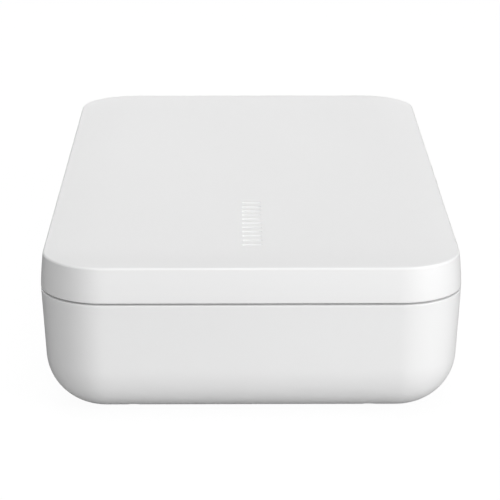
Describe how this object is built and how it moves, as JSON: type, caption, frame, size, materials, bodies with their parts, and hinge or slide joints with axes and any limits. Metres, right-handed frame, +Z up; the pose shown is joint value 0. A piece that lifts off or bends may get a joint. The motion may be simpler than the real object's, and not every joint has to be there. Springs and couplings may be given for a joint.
{
  "type": "uv sanitizer box",
  "caption": "Flat white box with a hinged lid that cleans a telephone with ultraviolet lamps, with a front push button and a rear charging socket.",
  "frame": {"origin": "the middle of the base shell's flat underside", "axes": "+X along the length, -Y is the front with the button, +Y the hinge side, +Z up"},
  "size_m": [0.228, 0.1314, 0.0494],
  "materials": {
    "white_shell": "fine satin white ABS",
    "white_inner": "semi-gloss white ABS",
    "foot_rubber": "matt grey silicone",
    "fastener_steel": "bright zinc-plated steel",
    "port_steel": "drawn stainless steel",
    "magnet_nickel": "nickel-plated magnet",
    "reflector_aluminium": "polished",
    "quartz_glass": "clear quartz plate",
    "lamp_glass": "clear lamp tube",
    "clear_light": "clear light guide",
    "lamp_ceramic": "fired white ceramic",
    "circuit_board": "green glass-fibre laminate",
    "black_nylon": "moulded black nylon"
  },
  "bodies": {
    "base": {"base_shell": "white_shell", "base_tray": "white_inner", "base_window": "quartz_glass", "base_lamp": "lamp_glass", "base_lamp_holder_left": "lamp_ceramic", "base_lamp_holder_right": "lamp_ceramic", "base_reflector": "reflector_aluminium", "switch_board": "circuit_board", "button_switch": "black_nylon", "lid_sensor": "black_nylon", "indicator_light": "clear_light", "main_board": "circuit_board", "lamp_transformer": "black_nylon", "usb_c_port": "port_steel", "base_magnet_left": "magnet_nickel", "base_magnet_right": "magnet_nickel", "hinge_pin_left": "fastener_steel", "hinge_pin_right": "fastener_steel", "case_screw_left_front": "fastener_steel", "case_screw_left_rear": "fastener_steel", "case_screw_right_front": "fastener_steel", "case_screw_right_rear": "fastener_steel", "foot_left_front": "foot_rubber", "foot_left_rear": "foot_rubber", "foot_right_front": "foot_rubber", "foot_right_rear": "foot_rubber"},
    "lid": {"lid_shell": "white_shell", "lid_liner": "white_inner", "lid_window": "quartz_glass", "lid_lamp": "lamp_glass", "lid_lamp_holder_left": "lamp_ceramic", "lid_lamp_holder_right": "lamp_ceramic", "lid_reflector": "reflector_aluminium", "lid_magnet_left": "magnet_nickel", "lid_magnet_right": "magnet_nickel", "liner_screw_left_front": "fastener_steel", "liner_screw_left_rear": "fastener_steel", "liner_screw_right_front": "fastener_steel", "liner_screw_right_rear": "fastener_steel"},
    "power_button": {"power_button": "white_shell"}
  },
  "joints": [
    {"name": "lid_hinge", "type": "hinge", "parent": "base", "child": "lid", "pos_m": [0, 0.064, 0.03708], "axis": [-1, 0, 0], "range_deg": [0, 100]},
    {"name": "button_press", "type": "slide", "parent": "base", "child": "power_button", "axis": [0, 1, 0], "range_m": [0, 0.0005], "stiffness_N_per_m": 1500}
  ]
}
